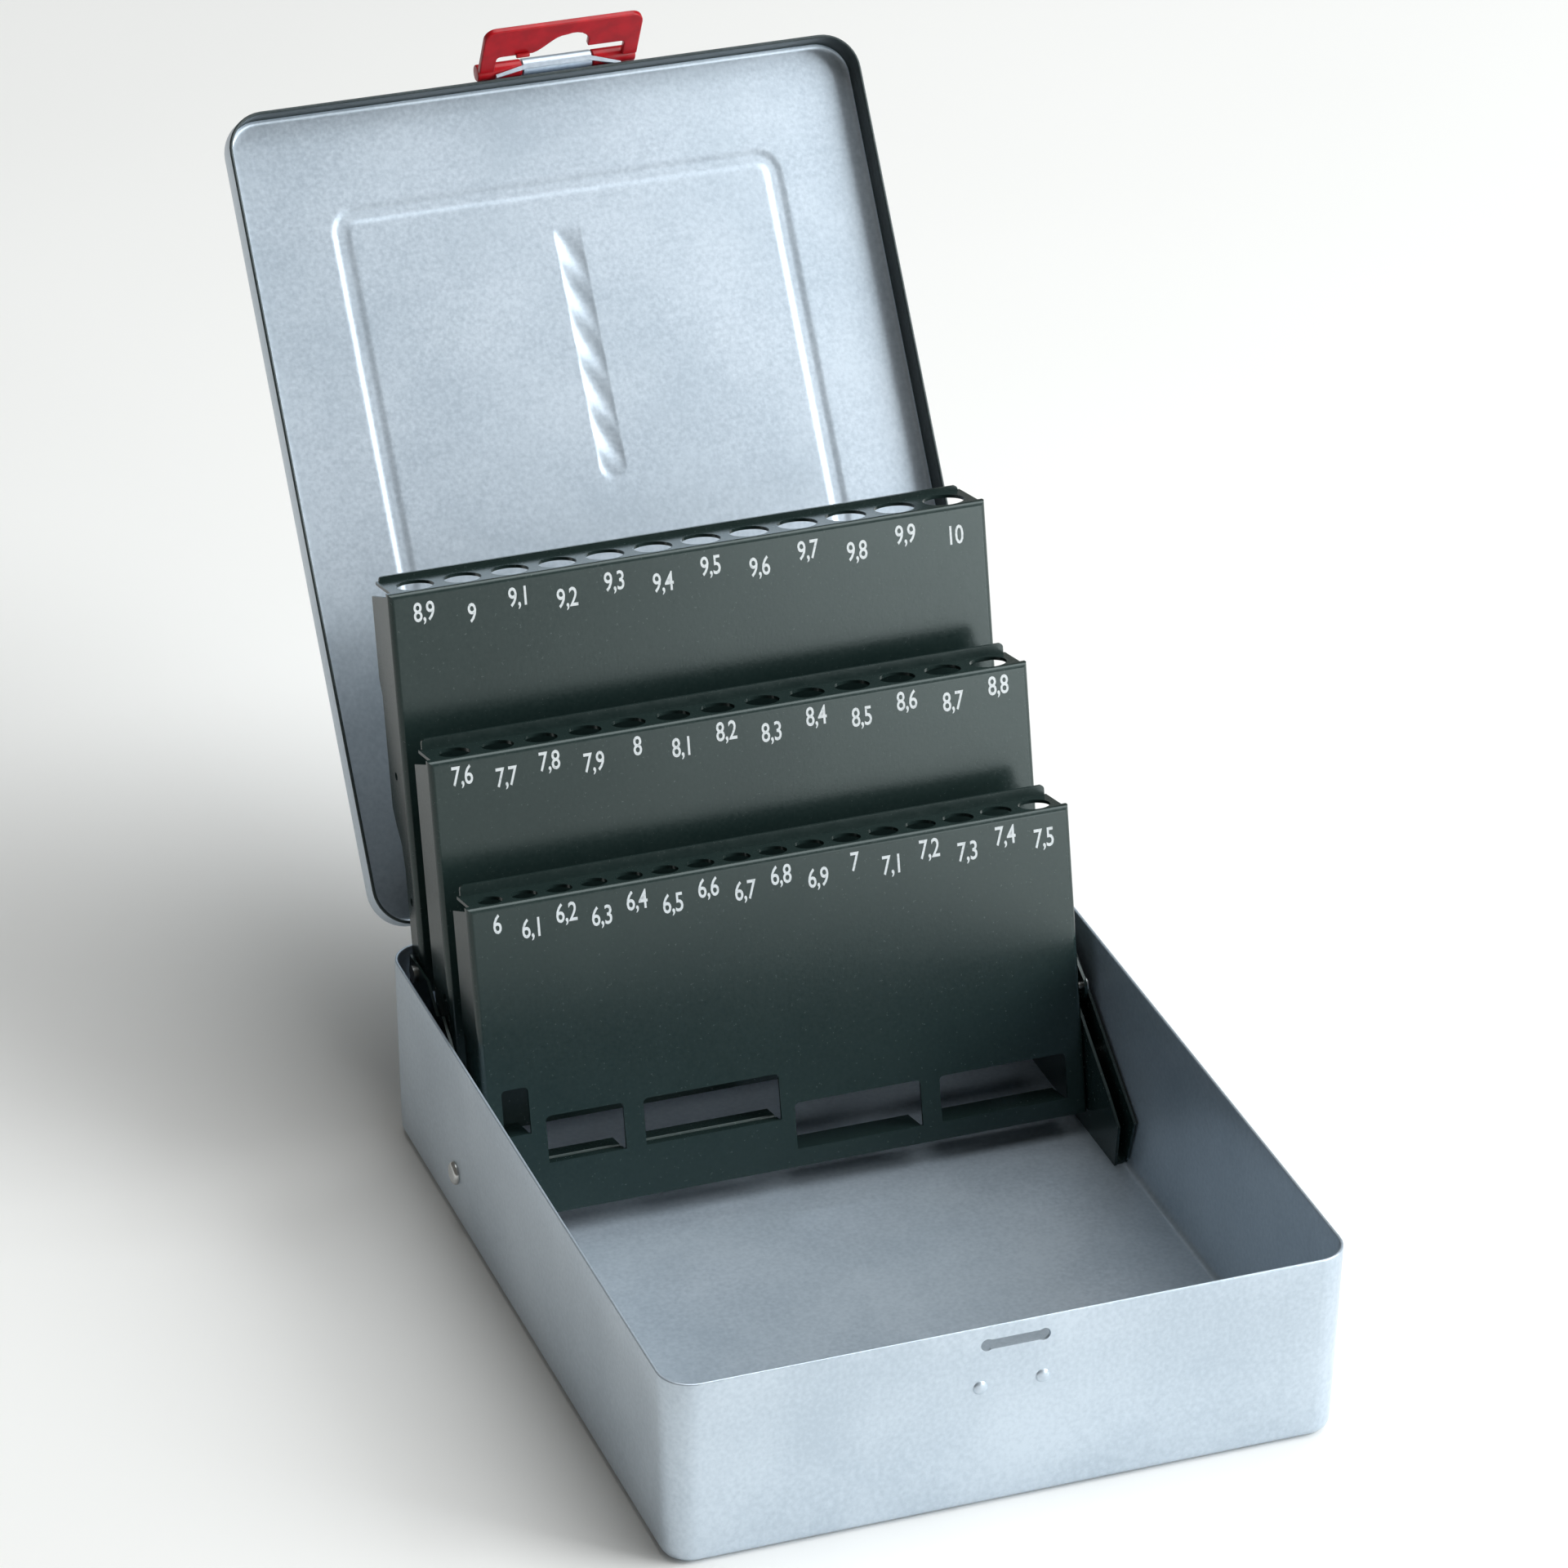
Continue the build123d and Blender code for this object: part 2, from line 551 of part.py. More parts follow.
def link_rivet(pivot):
    y = pivot[0] + CRANK_UP[0]
    z = pivot[1] + CRANK_UP[1]
    rivet = rod(LINK_R, FLANGE_IN, BAR_OUT + 0.2, y, z)
    rivet += rod(LINK_HEAD_R, FLANGE_IN - HEAD_T, FLANGE_IN, y, z)
    rivet += rod(LINK_HEAD_R, BAR_OUT + 0.2, BAR_OUT + 0.2 + HEAD_T, y, z)
    return rivet


def link_bar():
    pins = [(y + CRANK_UP[0], z + CRANK_UP[1]) for y, z in PIVOTS]
    stops = pins + [LID_PIN]
    bar = None
    for (ya, za), (yb, zb) in zip(stops, stops[1:]):
        angle = math.atan2(zb - za, yb - ya)
        oy = -BAR_HALF * math.sin(angle)
        oz = BAR_HALF * math.cos(angle)
        piece = slab([(ya + oy, za + oz), (yb + oy, zb + oz), (yb - oy, zb - oz), (ya - oy, za - oz)],
                     BAR_IN, BAR_OUT)
        bar = piece if bar is None else bar + piece
    for y, z in pins:
        bar += rod(BAR_HALF, BAR_IN, BAR_OUT, y, z)
    far_y, far_z = lid_pin_drift(0.45)
    eye = (LID_PIN[0] + far_y * 0.5, LID_PIN[1] + far_z * 0.5)
    bar += rod(BAR_HALF + 1.0, BAR_IN, BAR_OUT, eye[0], eye[1])
    for y, z in pins:
        bar -= rod(LINK_R + RUN, BAR_IN - 1, BAR_OUT + 1, y, z)
    # Short slot that takes up the lid pin's slightly different arc
    slot_r = LID_PIN_R + SLOT_PLAY
    a = (LID_PIN[0] - 0.05, LID_PIN[1] - 0.02)
    b = (LID_PIN[0] + far_y - 0.12, LID_PIN[1] + far_z - 0.1)
    angle = math.atan2(b[1] - a[1], b[0] - a[0])
    oy = -slot_r * math.sin(angle)
    oz = slot_r * math.cos(angle)
    slot = slab([(a[0] + oy, a[1] + oz), (b[0] + oy, b[1] + oz), (b[0] - oy, b[1] - oz),
                 (a[0] - oy, a[1] - oz)], BAR_IN - 1, BAR_OUT + 1)
    slot += rod(slot_r, BAR_IN - 1, BAR_OUT + 1, a[0], a[1])
    slot += rod(slot_r, BAR_IN - 1, BAR_OUT + 1, b[0], b[1])
    return bar - slot


def lid_lug():
    # Ear hanging from the lid plate on the right, drawn closed and swung open
    plate_z = LID_TOP_Z - SHEET
    turn = math.radians(LID_OPEN)
    dy = LID_PIN[0] - HINGE_Y
    dz = LID_PIN[1] - HINGE_Z
    y = HINGE_Y + dy * math.cos(turn) - dz * math.sin(turn)
    z = HINGE_Z + dy * math.sin(turn) + dz * math.cos(turn)
    ear = slab([(y - LUG_R, z), (y - LUG_FOOT_HALF, plate_z), (y + LUG_FOOT_HALF, plate_z),
                (y + LUG_R, z)], LUG_IN, LUG_OUT)
    ear += rod(LUG_R, LUG_IN, LUG_OUT, y, z)
    ear += block(LUG_OUT - LUG_FOOT_W, LUG_OUT, y - LUG_FOOT_HALF, y + LUG_FOOT_HALF,
                 plate_z - LAYER_T, plate_z)
    ear -= rod(LID_PIN_R, LUG_IN - 0.2, LUG_OUT + 0.2, y, z)
    return lid_open(ear)


def lid_link_pin():
    y, z = LID_PIN
    pin = rod(LID_PIN_R, BAR_IN - 0.2, LUG_OUT, y, z)
    return chamfer(pin.edges().group_by(Axis.X)[0], 0.15)


def latch_bracket():
    # Sheet wedge on the lid's end wall, curled round the latch pin between the barrels
    y = HINGE_Y - LATCH_AXIS_A
    z = HINGE_Z + LATCH_AXIS_B
    wall = -CASE_D / 2
    curl_left = LATCH_X - LATCH_W / 2 + LATCH_BARREL_LEFT + LATCH_GAP
    curl_right = LATCH_X + LATCH_W / 2 - LATCH_BARREL_RIGHT - LATCH_GAP
    base_left = curl_left - BRACKET_LEFT
    base_right = curl_right + BRACKET_RIGHT
    low = LID_RIM_Z + 0.3
    high = LID_TOP_Z - LID_EDGE_R

    def wedge(inset, out, z0, z1, z2):
        foot = Plane.XZ.offset(-wall - inset * 0.5 if inset else -wall)
        a = foot * Pos((base_left + base_right) / 2, (z0 + z1) / 2) * Rectangle(
            base_right - base_left - 2 * inset, z1 - z0)
        tip = Plane.XZ.offset(-wall + out)
        b = tip * Pos((curl_left + curl_right) / 2, (z0 + z2) / 2) * Rectangle(
            curl_right - curl_left - 2 * inset, z2 - z0)
        return loft([a, b])

    body = wedge(0, wall - y, low, high, z + LATCH_BARREL_R)
    core = wedge(SHEET, (wall - y) - 1.0, low - 1, high - SHEET, z + LATCH_BARREL_R - SHEET)
    body -= core
    body += rod(LATCH_BARREL_R, curl_left, curl_right, y, z)
    for x0, x1 in ((base_left - 1, curl_left - 0.05), (curl_right + 0.05, base_right + 1)):
        body -= rod(LATCH_BARREL_R + LATCH_GAP, x0, x1, y, z)
    # Room for the clip's two arms when it hangs closed
    arm_left = LATCH_X - LATCH_W / 2 + LATCH_ARM + LATCH_GAP
    arm_right = LATCH_X + LATCH_W / 2 - LATCH_ARM - LATCH_GAP
    for x0, x1 in ((base_left - 1, arm_left), (arm_right, base_right + 1)):
        body -= block(x0, x1, y - LATCH_LEN, wall, low - 1, z + LATCH_GAP)
    body -= rod(LATCH_PIN_R, base_left, base_right, y, z)
    return lid_open(body)


def latch_pin():
    y = HINGE_Y - LATCH_AXIS_A
    z = HINGE_Z + LATCH_AXIS_B
    half = LATCH_W / 2 - 0.3
    pin = rod(LATCH_PIN_R, LATCH_X - half, LATCH_X + half, y, z)
    return lid_open(chamfer(pin.edges(), 0.2))


def latch_clip():
    # Drawn hanging closed over the front wall, then swung to the photographed place
    y = HINGE_Y - LATCH_AXIS_A
    z = HINGE_Z + LATCH_AXIS_B
    left = LATCH_X - LATCH_W / 2
    right = LATCH_X + LATCH_W / 2
    open_left = left + LATCH_ARM
    open_right = right - LATCH_ARM + 0.1
    front = y + LATCH_BACK
    back = front + LATCH_T
    plate = block(left, right, front, back, z - LATCH_LEN, z)
    plate = fillet([e for e in plate.edges().filter_by(Axis.Y) if e.center().Z < z - 1], 3.0)
    plate -= block(open_left, open_right, front - 1, back + 1, z - LATCH_BAR_FROM, z + 1)
    # Finger recess: a flat arch off the clip's middle
    peak_x = LATCH_X + RECESS_X
    reach = RECESS_REACH
    recess = Polyline(
        (peak_x - RECESS_LEFT, z - LATCH_BAR_FROM + 0.1),
        (peak_x - RECESS_SHOULDER, z - LATCH_BAR_FROM - 1.9),
        (peak_x - RECESS_RIGHT, z - LATCH_BAR_FROM - 4.3), (peak_x - 1.6, z - reach + 0.2),
        (peak_x + 0.8, z - reach), (peak_x + 3.4, z - reach + 0.9),
        (peak_x + RECESS_RIGHT, z - reach + 2.2),
        (peak_x + RECESS_RIGHT, z - LATCH_BAR_FROM + 0.1), close=True,
    )
    face = make_face(Plane.XZ.offset(-front + 2) * recess)
    plate -= extrude(face, amount=12, both=True)
    bar1 = rod(LATCH_BARREL_R, left, left + LATCH_BARREL_LEFT, y, z)
    bar2 = rod(LATCH_BARREL_R, right - LATCH_BARREL_RIGHT, right, y, z)
    clip = plate + bar1 + bar2
    snap_z = z - LATCH_BAR_FROM - SNAP_R - 0.05
    snap = rod(SNAP_R, LATCH_X - SNAP_LEFT, LATCH_X - SNAP_RIGHT, back + SNAP_OUT, snap_z)
    web = block(LATCH_X - SNAP_LEFT, LATCH_X - SNAP_RIGHT, back - 0.2, back + SNAP_OUT,
                snap_z - SNAP_R, snap_z + SNAP_R)
    clip += snap + web
    clip -= rod(LATCH_PIN_R + RUN, left - 1, right + 1, y, z)
    clip = swing(clip, -LATCH_OPEN, y, z)
    return lid_open(clip)


def save(name, shape):
    if isinstance(shape, (list, tuple)):
        shape = Compound(children=list(shape))
    shape.label = name
    export_step(shape, "parts/" + name + ".step")


save("base_tray", base_tray())
save("lid_shell", lid_shell())
save("hinge_leaf_base", hinge_leaf_base())
save("hinge_leaf_lid", hinge_leaf_lid())
save("hinge_pin", hinge_pin())
save("rack_front", rack_front())
save("rack_middle", rack_middle())
save("rack_rear", rack_rear())
bracket_left, bracket_right = both_sides(side_bracket())
save("bracket_left", bracket_left)
save("bracket_right", bracket_right)
save("bracket_rivets", list(both_sides(bracket_rivet())))
pivot_rivets = []
for pivot_y, pivot_z in PIVOTS:
    pivot_rivets += both_sides(pivot_rivet(pivot_y, pivot_z))
save("rack_pivot_rivets", pivot_rivets)
save("link_rivet_front", link_rivet(FRONT_PIVOT))
save("link_rivet_middle", link_rivet(MIDDLE_PIVOT))
save("link_rivet_rear", link_rivet(REAR_PIVOT))
save("link_bar", link_bar())
save("lid_lug", lid_lug())
save("lid_link_pin", lid_link_pin())
save("latch_bracket", latch_bracket())
save("latch_pin", latch_pin())
save("latch_clip", latch_clip())
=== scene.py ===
"""An empty sheet-steel drill case, lid open and three numbered racks standing up."""
import math

import bpy
import numpy as np
from mathutils import Matrix, Vector


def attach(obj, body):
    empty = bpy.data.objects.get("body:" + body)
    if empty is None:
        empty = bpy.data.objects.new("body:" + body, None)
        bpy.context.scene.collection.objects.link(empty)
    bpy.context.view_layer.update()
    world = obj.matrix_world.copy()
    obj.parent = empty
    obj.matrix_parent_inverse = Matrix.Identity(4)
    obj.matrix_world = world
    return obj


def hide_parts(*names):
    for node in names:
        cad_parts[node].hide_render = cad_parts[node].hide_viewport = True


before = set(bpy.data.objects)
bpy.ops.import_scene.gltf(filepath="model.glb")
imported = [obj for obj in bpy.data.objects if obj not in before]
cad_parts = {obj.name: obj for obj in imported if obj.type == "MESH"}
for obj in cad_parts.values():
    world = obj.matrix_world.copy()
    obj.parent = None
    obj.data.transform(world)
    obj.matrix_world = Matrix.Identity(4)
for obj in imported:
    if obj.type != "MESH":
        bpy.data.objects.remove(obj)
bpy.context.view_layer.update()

# The camera stands in front, a little to the left and above, as in the photograph.
# It looks through a long lens, so the case is seen almost without perspective.
camera_azimuth = math.radians(20.7295)
camera_elevation = math.radians(29.0963)
camera_roll = math.radians(0.6902)
camera_place = Vector((-0.524212, -1.336240, 0.931002))
camera_focal_px = 8807.96
picture_px = 1920.0
forward = Vector((math.sin(camera_azimuth) * math.cos(camera_elevation),
                  math.cos(camera_azimuth) * math.cos(camera_elevation),
                  -math.sin(camera_elevation)))
level_right = Vector((math.cos(camera_azimuth), -math.sin(camera_azimuth), 0.0))
level_up = level_right.cross(forward)
right = level_right * math.cos(camera_roll) + level_up * math.sin(camera_roll)
up = level_up * math.cos(camera_roll) - level_right * math.sin(camera_roll)
camera_data = bpy.data.cameras.new("camera")
camera_data.sensor_width = 36.0
camera_data.lens = camera_focal_px * camera_data.sensor_width / picture_px
camera_data.clip_end = 20.0
camera = bpy.data.objects.new("camera", camera_data)
turned = Matrix((right, up, -forward)).transposed()
camera.matrix_world = Matrix.Translation(camera_place) @ turned.to_4x4()
bpy.context.scene.collection.objects.link(camera)
bpy.context.scene.camera = camera
bpy.context.scene.view_settings.view_transform = "Standard"


# Tray: one drawn sheet of steel 0.8 mm thick with rounded corners and a rounded floor edge,
# its walls leaning out to the rim, stove-enamelled light blue-grey inside and out. A slot
# and two pressed dots for the latch are in its front wall.
case_width, case_depth, tray_height = 0.165, 0.203, 0.049
sheet, wall_lean = 0.0008, 0.0011
tray_corner, tray_floor_round = 0.008, 0.0028


def node(tree, kind, **inputs):
    """One shader node, its inputs (by name, or in0, in1 ...) set to values or joined."""
    made = tree.nodes.new(kind)
    for key, value in inputs.items():
        counted = key[:2] == "in" and key[2:].isdigit()
        socket = made.inputs[int(key[2:]) if counted else key.replace("_", " ")]
        if isinstance(value, bpy.types.NodeSocket):
            tree.links.new(value, socket)
        else:
            socket.default_value = value
    return made


def new_material(name, roughness, metallic=0.0, coat=0.0, coat_roughness=0.1, shine=0.5):
    """A material with a principled shader; also its tree, shader and object coordinates."""
    made = bpy.data.materials.new(name)
    made.use_nodes = True
    tree = made.node_tree
    shader = tree.nodes["Principled BSDF"]
    shader.inputs["Roughness"].default_value = roughness
    shader.inputs["Metallic"].default_value = metallic
    shader.inputs["Specular IOR Level"].default_value = shine
    shader.inputs["Coat Weight"].default_value = coat
    shader.inputs["Coat Roughness"].default_value = coat_roughness
    return made, tree, shader, tree.nodes.new("ShaderNodeTexCoord").outputs["Object"]


def two_tone(tree, factor, dark, light, low=0.35, high=0.65):
    """A ramp from a dark to a light colour between two values of a factor."""
    ramp = tree.nodes.new("ShaderNodeValToRGB")
    ends = ramp.color_ramp.elements
    ends[0].position, ends[1].position = low, high
    ends[0].color, ends[1].color = (*dark, 1), (*light, 1)
    tree.links.new(factor, ramp.inputs[0])
    return ramp.outputs[0]


cloud_scale, peel_scale = 32.0, 1400.0
peel_strength, peel_height = 0.5, 0.00002
gloss_below, gloss_above = 0.05, 0.07
enamel_low, enamel_high = 0.36, 0.64
sharp_angle = 35.0


def enamel(name, dark, light, roughness, metallic, speck, coat=0.2, shine=0.5):
    """Baked enamel: fine specks and broad clouds in its colour and gloss, orange peel."""
    made, tree, shader, place = new_material(name, roughness, metallic, coat,
                                             coat_roughness=0.25, shine=shine)
    fine = node(tree, "ShaderNodeTexNoise", Vector=place, Scale=speck, Detail=3.0)
    broad = node(tree, "ShaderNodeTexNoise", Vector=place, Scale=cloud_scale, Detail=2.0)
    both = node(tree, "ShaderNodeMath", in0=fine.outputs[0], in1=broad.outputs[0])
    half = node(tree, "ShaderNodeMath", in0=both.outputs[0], in1=0.5)
    half.operation = "MULTIPLY"
    colour = two_tone(tree, half.outputs[0], dark, light, enamel_low, enamel_high)
    tree.links.new(colour, shader.inputs["Base Color"])
    gloss = node(tree, "ShaderNodeMapRange", Value=fine.outputs[0],
                 To_Min=roughness - gloss_below, To_Max=roughness + gloss_above)
    tree.links.new(gloss.outputs[0], shader.inputs["Roughness"])
    peel = node(tree, "ShaderNodeTexNoise", Vector=place, Scale=peel_scale, Detail=2.0)
    bump = node(tree, "ShaderNodeBump", Height=peel.outputs[0], Strength=peel_strength,
                Distance=peel_height)
    tree.links.new(bump.outputs[0], shader.inputs["Normal"])
    return made


case_enamel = enamel("case_enamel", (0.472, 0.555, 0.635), (0.592, 0.675, 0.755),
                     roughness=0.33, metallic=0.55, speck=900.0)


def paint_nodes(material, *names):
    """Gives carried-over CAD nodes one material on all their faces."""
    for name in names:
        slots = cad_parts[name].data.materials
        slots.clear()
        slots.append(material)


def build(name, points, faces, *materials, which=None, crease=sharp_angle):
    """An object from points and faces, smooth but for edges sharper than the crease."""
    mesh = bpy.data.meshes.new(name)
    mesh.from_pydata(points.tolist(), [], faces)
    for material in materials:
        mesh.materials.append(material)
    if which is not None:
        mesh.polygons.foreach_set("material_index", which)
    mesh.shade_smooth()
    mesh.set_sharp_from_angle(angle=math.radians(crease))
    made = bpy.data.objects.new(name, mesh)
    bpy.context.scene.collection.objects.link(made)
    return made


def lines(*stops):
    """Positions from stop to stop, each stretch evenly divided at about its own step."""
    parts = [np.linspace(a, b, max(1, round((b - a) / step)), endpoint=False)
             for (a, step), (b, _) in zip(stops, stops[1:])]
    return np.append(np.concatenate(parts), stops[-1][0])


def cup(half_x, half_y, corner, xs, ys, lift, inner, outer, profile):
    """Points and quads of a pressed sheet: two plates and the wall between their borders.

    A grid of lines xs by ys fills a rectangle. In each corner square u and v run from 0 to 1,
    and a point moves to (u, v) max(u, v) / sqrt(u^2 + v^2), which rounds the corner. The
    plates stand at z = inner and z = outer, less lift(x, y). The wall's rings stand off
    the border by the profile's g, along its normal, at the profile's z.
    """
    x, y = np.meshgrid(xs, ys, indexing="ij")
    u = np.maximum(np.abs(x) - (half_x - corner), 0) / corner
    v = np.maximum(np.abs(y) - (half_y - corner), 0) / corner
    reach = np.hypot(u, v)
    pull = np.where(reach > 0, np.maximum(u, v) / np.where(reach > 0, reach, 1), 1)
    x = np.sign(x) * (np.minimum(np.abs(x), half_x - corner) + u * pull * corner)
    y = np.sign(y) * (np.minimum(np.abs(y), half_y - corner) + v * pull * corner)
    top = np.stack([x, y, inner - lift(x, y)], -1)
    low = np.stack([x, y, outer - lift(x, y)], -1)
    index = np.arange(x.size).reshape(x.shape)
    border = np.concatenate([index[:-1, 0], index[-1, :-1], index[:0:-1, -1], index[0, :0:-1]])
    edge = top.reshape(-1, 3)[border, :2]
    centre = np.clip(edge, [-half_x + corner, -half_y + corner],
                     [half_x - corner, half_y - corner])
    normal = (edge - centre) / corner
    gs, zs = np.array(profile).T
    rings = np.empty((len(gs), len(border), 3))
    rings[:, :, :2] = edge + normal * gs[:, None, None]
    rings[:, :, 2] = zs[:, None]
    points = np.vstack([top.reshape(-1, 3), low.reshape(-1, 3), rings.reshape(-1, 3)])
    ring = 2 * x.size + np.arange(rings[:, :, 0].size).reshape(rings.shape[:2])
    ring = np.vstack([border, ring, border + x.size])
    after = np.roll(ring, -1, axis=1)
    wall = np.stack([ring[:-1], ring[1:], after[1:], after[:-1]], -1).reshape(-1, 4)
    plate = np.stack([index[:-1, :-1], index[1:, :-1], index[1:, 1:], index[:-1, 1:]], -1)
    plate = plate.reshape(-1, 4)
    faces = np.vstack([plate, plate[:, ::-1] + x.size, wall])
    return points, faces.tolist(), len(border)


def arc(g, z, radius, start, end, count):
    """Places (g, z) on a round, from one angle in degrees to another."""
    angle = np.radians(np.linspace(start, end, count))
    return list(zip(g + radius * np.cos(angle), z + radius * np.sin(angle)))


def lean(z):
    """How far a wall has leaned out at a height."""
    return wall_lean * z / tray_height


edge_round = 0.00034
inner_round = tray_floor_round - sheet
rim = tray_height - edge_round
wall_rings = (0.012, 0.026, 0.040)
round_from, round_points, rim_points = -75, 6, 4
profile = arc(-tray_floor_round, tray_floor_round, inner_round, round_from, 0, round_points)
profile += [(lean(z) - sheet, z) for z in wall_rings]
profile += arc(lean(rim) - sheet + edge_round, rim, edge_round, 180, 90, rim_points)
profile += arc(lean(rim) - edge_round, rim, edge_round, 90, 0, rim_points)
profile += [(lean(z), z) for z in wall_rings[::-1]]
profile += arc(-tray_floor_round, tray_floor_round, tray_floor_round, 0, round_from,
               round_points)
profile = [(g + tray_floor_round, z) for g, z in profile]
floor_x = case_width / 2 - wall_lean - tray_floor_round
floor_y = case_depth / 2 - wall_lean - tray_floor_round
floor_corner = tray_corner - wall_lean - tray_floor_round
plain_step = 0.008


def spread(half, corner, step):
    """Grid lines over a plate, closer in its rounded corners."""
    return lines((-half, corner / 6), (-half + corner, step), (half - corner, corner / 6),
                 (half, 1))


def level(x, y):
    """A plate with no relief."""
    return np.zeros_like(x)


points, faces, _ = cup(floor_x, floor_y, floor_corner,
                       spread(floor_x, floor_corner, plain_step),
                       spread(floor_y, floor_corner, plain_step),
                       level, sheet, 0.0, profile)
tray = build("tray", points, faces, case_enamel)

# The latch slot: a narrow bar cut out, with a small round relief hole at each end
slot_half, slot_z, slot_height, slot_end = 0.0068, 0.0441, 0.0026, 0.0016
front_y, reach_y = -case_depth / 2, 0.004


def front_cutter(outline):
    """A closed bar through the tray's front wall, only there to cut it.

    The outline, anticlockwise in x and z, is set at y = front_y - reach_y and again at
    y = front_y + reach_y.
    """
    count = len(outline)
    x, z = np.vstack([outline, outline]).T
    y = np.repeat([front_y - reach_y, front_y + reach_y], count)
    ring = np.arange(count)
    after = np.roll(ring, -1)
    walls = np.stack([ring + count, after + count, after, ring], -1)
    caps = [ring.tolist(), (ring[::-1] + count).tolist()]
    mesh = bpy.data.meshes.new("cutter")
    mesh.from_pydata(np.stack([x, y, z], -1).tolist(), [], caps + walls.tolist())
    made = bpy.data.objects.new("cutter", mesh)
    bpy.context.scene.collection.objects.link(made)
    return made


def cut_away(target, tool):
    """Takes the tool's volume out of the target for good, and removes the tool."""
    step = target.modifiers.new("cut", "BOOLEAN")
    step.operation = "DIFFERENCE"
    step.object = tool
    step.solver = "EXACT"
    bpy.context.view_layer.update()
    shape = target.evaluated_get(bpy.context.evaluated_depsgraph_get())
    mesh = bpy.data.meshes.new_from_object(shape)
    target.modifiers.clear()
    target.data = mesh
    mesh.set_sharp_from_angle(angle=math.radians(sharp_angle))
    bpy.data.objects.remove(tool)


low, high = slot_z - slot_height / 2, slot_z + slot_height / 2
cut_away(tray, front_cutter([(-slot_half, low), (slot_half, low), (slot_half, high),
                             (-slot_half, high)]))
sides = 24
spin = np.linspace(0, 2 * math.pi, sides, endpoint=False)
for x in (-slot_half, slot_half):
    circle = np.stack([x + slot_end * np.cos(spin), slot_z + slot_end * np.sin(spin)], -1)
    cut_away(tray, front_cutter(circle))
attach(tray, "case_base")
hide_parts("base_tray")



def stacked_rings(rows, columns):
    """Numbers of the points in closed rings, and quads that join each ring to the next."""
    index = np.arange(rows * columns).reshape(rows, columns)
    after = np.roll(index, -1, axis=1)
    quads = np.stack([index[:-1], after[:-1], after[1:], index[1:]], -1)
    return index, quads.reshape(-1, 4).tolist()


# Two shallow round dots, pressed out below the slot for the latch to snap over
dot_radius, dot_height, dot_z, dot_sunk, dot_rings = 0.0018, 0.0008, 0.0329, 0.00008, 8
rise = np.linspace(0, 1, dot_rings, endpoint=False)
wall_y = front_y + wall_lean * (1 - dot_z / tray_height)
for side, x in (("left", -0.0082), ("right", 0.0069)):
    ring = dot_radius * (1 - rise[:, None])
    out = dot_height * np.sqrt(1 - (1 - rise[:, None]) ** 2) - dot_sunk
    points = np.stack([x + ring * np.cos(spin), wall_y - out + 0 * spin,
                       dot_z + ring * np.sin(spin)], -1)
    index, quads = stacked_rings(dot_rings, sides)
    apex, back = index.size, index.size + 1
    points = np.vstack([points.reshape(-1, 3), [[x, wall_y - dot_height + dot_sunk, dot_z],
                                                [x, wall_y + sheet / 4, dot_z]]])
    cap = np.stack([index[-1], np.roll(index[-1], -1), np.full(sides, apex)], -1)
    base = np.stack([np.roll(index[0], -1), index[0], np.full(sides, back)], -1)
    dot = build("latch_dot_" + side, points, quads + cap.tolist() + base.tolist(),
                case_enamel, crease=80.0)
    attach(dot, "case_base")


# Lid: a shallow pressed sheet on a rear hinge, of the same enamelled steel. A ring bead and
# a drill-shaped relief are pressed outwards, so they show as recesses inside. The inside of
# its wall and its rim are painted darker than its faces: painted shade, standing in for the
# dark reflection that falls there.
lid_depth, lid_corner, lid_round, lid_gap = 0.0084, 0.0095, 0.0024, 0.0004
hinge_behind, hinge_lift = 0.0029, 0.0002
lid_opened = math.radians(125.4)
bead_half_x, bead_low, bead_top = 0.0593, 0.028, 0.181
bead_band, bead_depth, bead_corner, bead_slope = 0.0052, 0.00020, 0.007, 0.0018
relief_x, relief_half = 0.0005, 0.0034
relief_low, relief_top, relief_depth = 0.104, 0.1675, 0.00032
flute_pitch, flute_share, bar_power, blunt_run = 0.024, 0.6, 0.8, 0.0012
x_axis = np.array([1.0, 0.0, 0.0])
hinge = np.array([0.0, case_depth / 2 + hinge_behind, tray_height + hinge_lift])
lid_along = np.array([0.0, -math.cos(lid_opened), math.sin(lid_opened)])
lid_out = np.array([0.0, math.sin(lid_opened), math.cos(lid_opened)])
lid_middle = hinge_behind + case_depth / 2


def smooth_step(t):
    """Rises smoothly from 0 to 1 as t does."""
    t = np.clip(t, 0, 1)
    return t * t * (3 - 2 * t)


